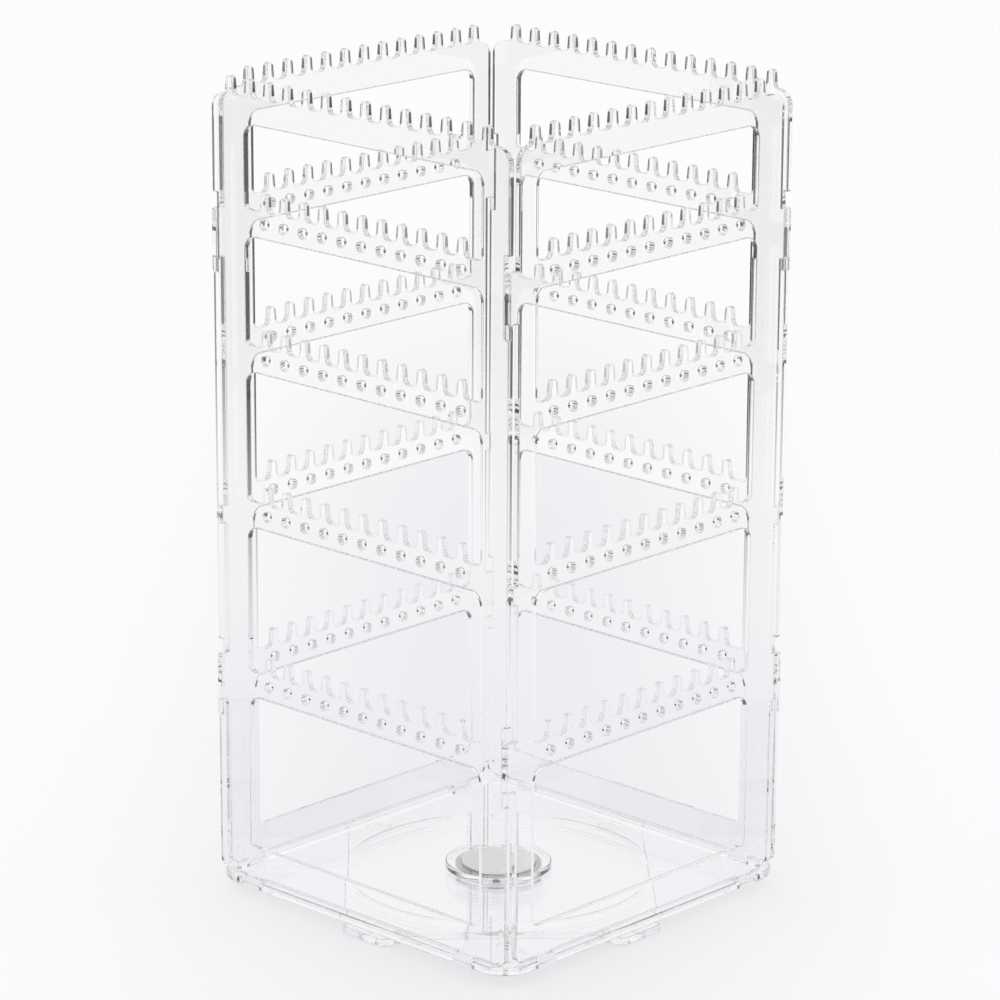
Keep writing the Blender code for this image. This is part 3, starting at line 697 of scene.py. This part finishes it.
class STAND_OT_tray(bpy.types.Operator):
    """Build the turning tray with its hub, ribs, slots and corner pegs"""
    bl_idname = "stand.tray"
    bl_label = "Tray"

    def execute(self, context):
        sizes = context.scene.stand_sizes
        colours = context.scene.stand_colours
        # The same polystyrene, a little less glossy on the wide floor.
        material = clear_plastic("moulded_clear_polystyrene_tray", colours.clear, 0.02)
        thickness = TRAY_TOP - TRAY_BOTTOM
        outline = rounded_square(TRAY_WIDTH, TRAY_CORNER_RADIUS, TRAY_CORNER_ARC)
        slab = plate("tray_slab", [outline], thickness)
        round_rims(slab, sizes.rim_round)
        tray = to_object("turning_tray", slab, Matrix.Translation((0.0, 0.0, TRAY_BOTTOM + thickness / 2)))
        steps = [("DIFFERENCE", self.hollow())]
        hub = HUB_DIAMETER / 2
        opening = cylinder("hub_opening", hub - HUB_WALL / 2, TRAY_BOTTOM - CUT_EXTRA, HUB_TOP + CUT_EXTRA)
        steps.append(("DIFFERENCE", opening))
        steps += [("UNION", thing) for thing in self.ribs()]
        steps.append(("UNION", self.hub(hub, sizes.rim_round)))
        steps += [("UNION", thing) for thing in self.pegs()]
        steps += [("DIFFERENCE", thing) for thing in self.slots()]
        carve(tray, steps)
        finish_piece(tray, "turntable", "clear_plastic", material, "tray")
        return {"FINISHED"}

    def hollow(self):
        """Space under the floor."""
        top = TRAY_TOP - FLOOR_THICKNESS
        depth = top - TRAY_BOTTOM + CUT_EXTRA
        inner = TRAY_WIDTH - 2 * EDGE_BAND
        outline = rounded_square(inner, TRAY_CORNER_RADIUS - EDGE_BAND, CORNER_ARC)
        middle = Matrix.Translation((0.0, 0.0, top - depth / 2))
        return to_object("hollow", plate("hollow", [outline], depth), middle)

    def ribs(self):
        """Ring rib and corner ribs under the floor."""
        top = TRAY_TOP - FLOOR_THICKNESS / 2
        outer = RING_RIB_RADIUS + RIB_WIDTH / 2
        inner = RING_RIB_RADIUS - RIB_WIDTH / 2
        ribs = [turned("ring_rib", [
            (outer, top), (outer, TRAY_BOTTOM), (inner, TRAY_BOTTOM), (inner, top)], RING_STEPS)]
        corner = (TRAY_WIDTH / 2 - EDGE_BAND / 2) * math.sqrt(2) - TRAY_CORNER_RADIUS * (math.sqrt(2) - 1)
        for turn in QUARTERS:
            ribs.append(box("corner_rib", (RING_RIB_RADIUS, -RIB_WIDTH / 2, TRAY_BOTTOM),
                            (corner, RIB_WIDTH / 2, top), spin_z(45 + turn)))
        return ribs

    def hub(self, hub, rim):
        """Raised hub with the cap's seat above and the axle below."""
        cavity = hub - HUB_WALL
        cap = CAP_DIAMETER / 2 + SEAT_GAP
        ceiling = CAP_SEAT - (CAP_SEAT - HUB_CEILING_BOTTOM) / 2
        return turned("hub", [
            (hub - rim, HUB_TOP),
            (hub - rim * RIM_SHARE, HUB_TOP - rim * RIM_SHARE),
            (hub, HUB_TOP - rim),
            (hub, TRAY_BOTTOM + SEAT_GAP),
            (cavity, TRAY_BOTTOM + SEAT_GAP),
            (cavity, HUB_CEILING_BOTTOM),
            (AXLE_DIAMETER / 2, HUB_CEILING_BOTTOM),
            (AXLE_DIAMETER / 2, AXLE_BOTTOM),
            (SCREW_PILOT_RADIUS, AXLE_BOTTOM),
            (SCREW_PILOT_RADIUS, ceiling),
            (0.0, ceiling),
            (0.0, CAP_SEAT),
            (cap, CAP_SEAT),
            (cap, HUB_TOP),
        ])

    def pegs(self):
        """Arched pegs inside the tower's corners."""
        radius = PEG_WIDTH / 2
        arch = [(-radius, -FLOOR_THICKNESS / 2), (radius, -FLOOR_THICKNESS / 2)]
        arch += arc((0.0, PEG_HEIGHT - radius), radius, 0, 180, WIDE_ARC)
        reach = (TOWER_WIDTH / 2 - PANEL_THICKNESS - PEG_CLEARANCE) * math.sqrt(2)
        pegs = []
        for turn in QUARTERS:
            matrix = spin_z(45 + turn) @ Matrix.Translation((0.0, -reach, TRAY_TOP)) @ STAND_UP
            pegs.append(to_object("peg", plate("peg", [arch], PEG_THICKNESS), matrix))
        return pegs

    def slots(self):
        """Slots in the edge band for the panels' tabs."""
        slots = []
        wide = TAB_WIDTH / 2 + SEAT_GAP
        thick = PANEL_THICKNESS / 2 + SEAT_GAP
        for _, turn, is_wide, _ in WALLS:
            shift = -TAB_SHIFT if is_wide else TAB_SHIFT
            for side in (-1.0, 1.0):
                middle = shift + side * TAB_SPAN / 2
                slots.append(box("slot", (middle - wide, -PANEL_OFFSET - thick, TRAY_BOTTOM - CUT_EXTRA),
                                 (middle + wide, -PANEL_OFFSET + thick, TRAY_TOP + CUT_EXTRA), spin_z(turn)))
        return slots


class STAND_OT_hub_cap(bpy.types.Operator):
    """Build the round cap in the top of the hub"""
    bl_idname = "stand.hub_cap"
    bl_label = "Hub cap"

    def execute(self, context):
        colours = context.scene.stand_colours
        # A milky insert of the same plastic, which hides the screw below it.
        material = clear_plastic("moulded_milky_polystyrene_cap", colours.glide, 0.2, 0.15)
        radius = CAP_DIAMETER / 2
        bottom = CAP_SEAT + SEAT_GAP
        top = bottom + CAP_THICKNESS
        rim = context.scene.stand_sizes.rim_round
        cap = turned("cap", [
            (0.0, top),
            (radius - rim, top),
            (radius - rim * RIM_SHARE, top - rim * RIM_SHARE),
            (radius, top - rim),
            (radius, bottom),
            (0.0, bottom),
        ])
        finish_piece(cap, "turntable", "cap_plastic", material, "hub_cap")
        return {"FINISHED"}


class STAND_OT_foot_plate(bpy.types.Operator):
    """Build the plate that stays still on the table"""
    bl_idname = "stand.foot_plate"
    bl_label = "Foot plate"

    def execute(self, context):
        sizes = context.scene.stand_sizes
        colours = context.scene.stand_colours
        # The same clear plastic as the tray.
        material = clear_plastic("moulded_clear_polystyrene_foot", colours.clear, 0.03)
        thickness = FOOT_TOP - FOOT_BOTTOM
        work = plate("foot_slab", [foot_outline()], thickness)
        round_rims(work, sizes.rim_round)
        middle = (FOOT_BOTTOM + FOOT_TOP) / 2
        foot = to_object("stationary_plate", work, Matrix.Translation((0.0, 0.0, middle)))
        outer = TURRET_DIAMETER / 2
        core = outer - TURRET_WALL
        post = AXLE_BORE_RADIUS + TURRET_WALL
        skirt = FOOT_BOTTOM + SEAT_GAP
        ceiling = TURRET_TOP - TURRET_WALL
        opening = cylinder("plate_opening", core, FOOT_BOTTOM - CUT_EXTRA, FOOT_TOP + CUT_EXTRA)
        steps = [("DIFFERENCE", opening), ("UNION", turned("turret", [
            (outer, TURRET_TOP),
            (outer, skirt),
            (core - SEAT_GAP, skirt),
            (core - SEAT_GAP, ceiling),
            (post, ceiling),
            (post, skirt),
            (SCREW_WELL_RADIUS, skirt),
            (SCREW_WELL_RADIUS, WEB_BOTTOM),
            (SCREW_BORE_RADIUS, WEB_BOTTOM),
            (SCREW_BORE_RADIUS, WEB_BOTTOM + WEB_THICKNESS),
            (AXLE_BORE_RADIUS, WEB_BOTTOM + WEB_THICKNESS),
            (AXLE_BORE_RADIUS, TURRET_TOP),
        ]))]
        for turn in QUARTERS:
            place = spin_z(turn) @ Vector((PAD_RADIUS_FROM_AXIS, foot_shift(turn), 0.0))
            steps.append(("DIFFERENCE", cylinder(
                "pad_pocket", PAD_DIAMETER / 2 + SEAT_GAP, FOOT_BOTTOM - CUT_EXTRA, PAD_THICKNESS + SEAT_GAP,
                POCKET_SIDES, place.xy)))
        carve(foot, steps)
        finish_piece(foot, "base", "clear_plastic", material, "foot_plate")
        return {"FINISHED"}


class STAND_OT_small_parts(bpy.types.Operator):
    """Give the glide ring, pads, screw and washer their finishes"""
    bl_idname = "stand.small_parts"
    bl_label = "Small parts"

    def execute(self, context):
        colours = context.scene.stand_colours
        # Natural polypropylene ring, waxy and half see-through.
        ring = clear_plastic("moulded_natural_polypropylene", colours.glide, 0.2, 0.5)
        # Clear silicone pads, soft and a little cloudy.
        pad = clear_plastic("moulded_clear_silicone", colours.clear, 0.25)
        # Zinc-plated steel, a soft metallic grey.
        steel = even_finish("zinc_plated_steel", colours.steel, {"Roughness": 0.35, "Metallic": 1.0})
        finishes = {"glide_ring": ring, "pivot_screw": steel, "pivot_washer": steel}
        finishes.update({"pad_" + side: pad for side, *_ in WALLS})
        for node, material in finishes.items():
            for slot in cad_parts[node].material_slots:
                slot.material = material
        return {"FINISHED"}


class STAND_OT_stage(bpy.types.Operator):
    """Set the paper floor, the light and the camera"""
    bl_idname = "stand.stage"
    bl_label = "Stage"

    def execute(self, context):
        scene = context.scene
        scene.view_settings.view_transform = "Standard"
        # The light passes many walls and is often reflected inside them.
        scene.cycles.max_bounces = BOUNCES
        scene.cycles.transmission_bounces = BOUNCES
        scene.cycles.glossy_bounces = BOUNCES
        floor = box("paper_floor", (-FLOOR_WIDTH / 2, -FLOOR_FRONT, -PAPER_THICKNESS),
                    (FLOOR_WIDTH / 2, FLOOR_BACK, 0.0), spin_z(VIEW_TURN))
        floor.data.materials.append(self.paper(scene.stand_colours))
        scene.world = self.room(scene.stand_colours)
        data = bpy.data.cameras.new("camera")
        data.lens = CAMERA_LENS
        camera = bpy.data.objects.new("camera", data)
        camera.location = CAMERA_PLACE
        camera.rotation_euler = Euler([math.radians(angle) for angle in CAMERA_TURN])
        scene.collection.objects.link(camera)
        scene.camera = camera
        return {"FINISHED"}

    def paper(self, colours):
        """White paper, flat and matt, with painted shade round the stand and towards its sides."""
        # Views of the paper through and off the clear plastic are evenly bright, and past the plastic a part
        # of the stand's shadow stays.
        paper, tree = new_material("white_paper")
        rays = add_node(tree, "ShaderNodeLightPath")
        indirect = add_node(tree, "ShaderNodeMath", {"operation": "MAXIMUM"}, (
            (rays.outputs["Is Glossy Ray"], 0), (rays.outputs["Is Transmission Ray"], 1)))
        share = add_node(tree, "ShaderNodeMath", {"operation": "MULTIPLY_ADD", 1: EVEN_LIGHT_SHARE}, (
            (rays.outputs["Is Camera Ray"], 0), (indirect.outputs["Value"], 2)))
        # For light that comes through the plastic, painted shade darkens the paper towards the room's colour
        # to both sides of the line of view, so that the walls of the teeth turn grey.
        place = add_node(tree, "ShaderNodeTexCoord")
        turn = math.radians(VIEW_TURN)
        across = add_node(tree, "ShaderNodeVectorMath", {
            "operation": "DOT_PRODUCT", 1: (math.cos(turn), math.sin(turn), 0.0)}, (
            (place.outputs["Object"], 0),))
        aside = add_node(tree, "ShaderNodeMath", {"operation": "ABSOLUTE"}, ((across.outputs["Value"], 0),))
        side_shade_fall = add_node(tree, "ShaderNodeMapRange", {
            "interpolation_type": "SMOOTHSTEP", "From Min": BRIGHT_REACH, "From Max": DARK_REACH},
            ((aside.outputs["Value"], "Value"),))
        painted_side_shade = add_node(tree, "ShaderNodeMath", {"operation": "MULTIPLY"}, (
            (side_shade_fall.outputs["Result"], 0), (rays.outputs["Is Transmission Ray"], 1)))
        # Near the stand a cool grey shade is painted on the paper: all round it through the plastic, and seen
        # past the plastic in a soft band behind it.
        distance = add_node(tree, "ShaderNodeVectorMath", {"operation": "LENGTH"}, (
            (place.outputs["Object"], 0),))
        near = add_node(tree, "ShaderNodeMapRange", {
            "interpolation_type": "SMOOTHSTEP", "From Min": SHADE_REACH, "From Max": SHADE_CORE},
            ((distance.outputs["Value"], "Value"),))
        shaded = add_node(tree, "ShaderNodeMath", {"operation": "MULTIPLY"}, (
            (near.outputs["Result"], 0), (rays.outputs["Is Transmission Ray"], 1)))
        centre = (-SHADOW_PLACE * math.sin(turn), SHADOW_PLACE * math.cos(turn), 0.0)
        away = add_node(tree, "ShaderNodeVectorMath", {"operation": "DISTANCE", 1: centre}, (
            (place.outputs["Object"], 0),))
        behind = add_node(tree, "ShaderNodeMapRange", {
            "interpolation_type": "SMOOTHSTEP", "From Min": SHADOW_REACH, "From Max": SHADE_CORE,
            "To Max": SHADOW_SHARE},
            ((away.outputs["Value"], "Value"),))
        band = add_node(tree, "ShaderNodeMapRange", {
            "interpolation_type": "SMOOTHSTEP", "From Min": SHADOW_WIDTH, "From Max": 0.0},
            ((aside.outputs["Value"], "Value"),))
        shadow = add_node(tree, "ShaderNodeMath", {"operation": "MULTIPLY"}, (
            (behind.outputs["Result"], 0), (band.outputs["Result"], 1)))
        seen = add_node(tree, "ShaderNodeMath", {"operation": "MULTIPLY_ADD"}, (
            (shadow.outputs["Value"], 0), (rays.outputs["Is Camera Ray"], 1), (shaded.outputs["Value"], 2)))
        base = add_node(tree, "ShaderNodeMix", {
            "data_type": "RGBA", 6: linear(colours.paper), 7: linear(colours.shade)}, (
            (seen.outputs["Value"], 0),))
        tone = add_node(tree, "ShaderNodeMix", {"data_type": "RGBA", 7: linear(colours.room)}, (
            (painted_side_shade.outputs["Value"], 0), (base.outputs[2], 6)))
        sheet = add_node(tree, "ShaderNodeBsdfDiffuse", links=((tone.outputs[2], "Color"),))
        even = add_node(tree, "ShaderNodeEmission", {"Strength": 1.0}, ((tone.outputs[2], "Color"),))
        mixed = add_node(tree, "ShaderNodeMixShader", links=(
            (share.outputs["Value"], 0), (sheet.outputs["BSDF"], 1), (even.outputs["Emission"], 2)))
        add_node(tree, "ShaderNodeOutputMaterial", links=((mixed.outputs["Shader"], "Surface"),))
        return paper

    def room(self, colours):
        """The room round the paper, which is also its light."""
        world = bpy.data.worlds.new("studio")
        world.use_nodes = True
        tree = world.node_tree
        tree.nodes.clear()
        turn = math.radians(VIEW_TURN)
        white = linear(colours.paper)
        rays = add_node(tree, "ShaderNodeLightPath")
        bright = add_node(tree, "ShaderNodeBackground", {"Color": white, "Strength": 1.0})
        seen = add_node(tree, "ShaderNodeBackground", {"Color": white, "Strength": 1.0})
        dim = add_node(tree, "ShaderNodeBackground", {"Color": linear(colours.room), "Strength": 1.0})
        # The lower half of the room is dark past the paper; the walls and the ceiling are bright.
        # Through the plastic the dark reaches higher, which draws the level edges as grey lines.
        where = add_node(tree, "ShaderNodeTexCoord")
        height = add_node(tree, "ShaderNodeSeparateXYZ", links=((where.outputs["Generated"], "Vector"),))
        facing = add_node(tree, "ShaderNodeVectorMath", {
            "operation": "DOT_PRODUCT", 1: (-math.sin(turn), math.cos(turn), 0.0)}, (
            (where.outputs["Generated"], 0),))
        along = add_node(tree, "ShaderNodeMath", {"operation": "ABSOLUTE"}, ((facing.outputs["Value"], 0),))
        rise = add_node(tree, "ShaderNodeMapRange", {
            "From Min": ALONG_VIEW[0], "From Max": ALONG_VIEW[1],
            "To Min": -DARK_WALL_RISE, "To Max": LOWER_ALONG_VIEW - DARK_WALL_RISE},
            ((along.outputs["Value"], "Value"),))
        lowered = add_node(tree, "ShaderNodeMath", {"operation": "MULTIPLY_ADD"}, (
            (rays.outputs["Is Transmission Ray"], 0), (rise.outputs["Result"], 1), (height.outputs["Z"], 2)))
        level = add_node(tree, "ShaderNodeMapRange", {"From Min": WALL_EDGE[0], "From Max": WALL_EDGE[1]}, (
            (lowered.outputs["Value"], "Value"),))
        room = add_node(tree, "ShaderNodeMixShader", links=(
            (level.outputs["Result"], 0), (dim.outputs["Background"], 1), (bright.outputs["Background"], 2)))
        final = add_node(tree, "ShaderNodeMixShader", links=(
            (rays.outputs["Is Camera Ray"], 0), (room.outputs["Shader"], 1), (seen.outputs["Background"], 2)))
        add_node(tree, "ShaderNodeOutputWorld", links=((final.outputs["Shader"], "Surface"),))
        return world


class STAND_PT_main(bpy.types.Panel):
    """Lists the pieces, the stage, the sizes and the colours"""
    bl_idname = "STAND_PT_main"
    bl_label = "Jewelry stand"
    bl_space_type = "VIEW_3D"
    bl_region_type = "UI"
    bl_category = "Jewelry stand"

    def draw(self, context):
        layout = self.layout
        for operator in OPERATORS:
            layout.operator(operator.bl_idname)
        for group in (context.scene.stand_sizes, context.scene.stand_colours):
            column = layout.column()
            for name in group.__annotations__:
                column.prop(group, name)


OPERATORS = (
    STAND_OT_panels,
    STAND_OT_tray,
    STAND_OT_hub_cap,
    STAND_OT_foot_plate,
    STAND_OT_small_parts,
    STAND_OT_stage,
)
CLASSES = (StandSizes, StandColours, *OPERATORS, STAND_PT_main)


def register():
    for item in CLASSES:
        bpy.utils.register_class(item)
    bpy.types.Scene.stand_sizes = PointerProperty(type=StandSizes)
    bpy.types.Scene.stand_colours = PointerProperty(type=StandColours)


def unregister():
    del bpy.types.Scene.stand_colours
    del bpy.types.Scene.stand_sizes
    for item in reversed(CLASSES):
        bpy.utils.unregister_class(item)


def main():
    """Build every piece and the stage."""
    register()
    bpy.ops.stand.panels()
    bpy.ops.stand.tray()
    bpy.ops.stand.hub_cap()
    bpy.ops.stand.foot_plate()
    bpy.ops.stand.small_parts()
    bpy.ops.stand.stage()


if __name__ == "__main__":
    main()
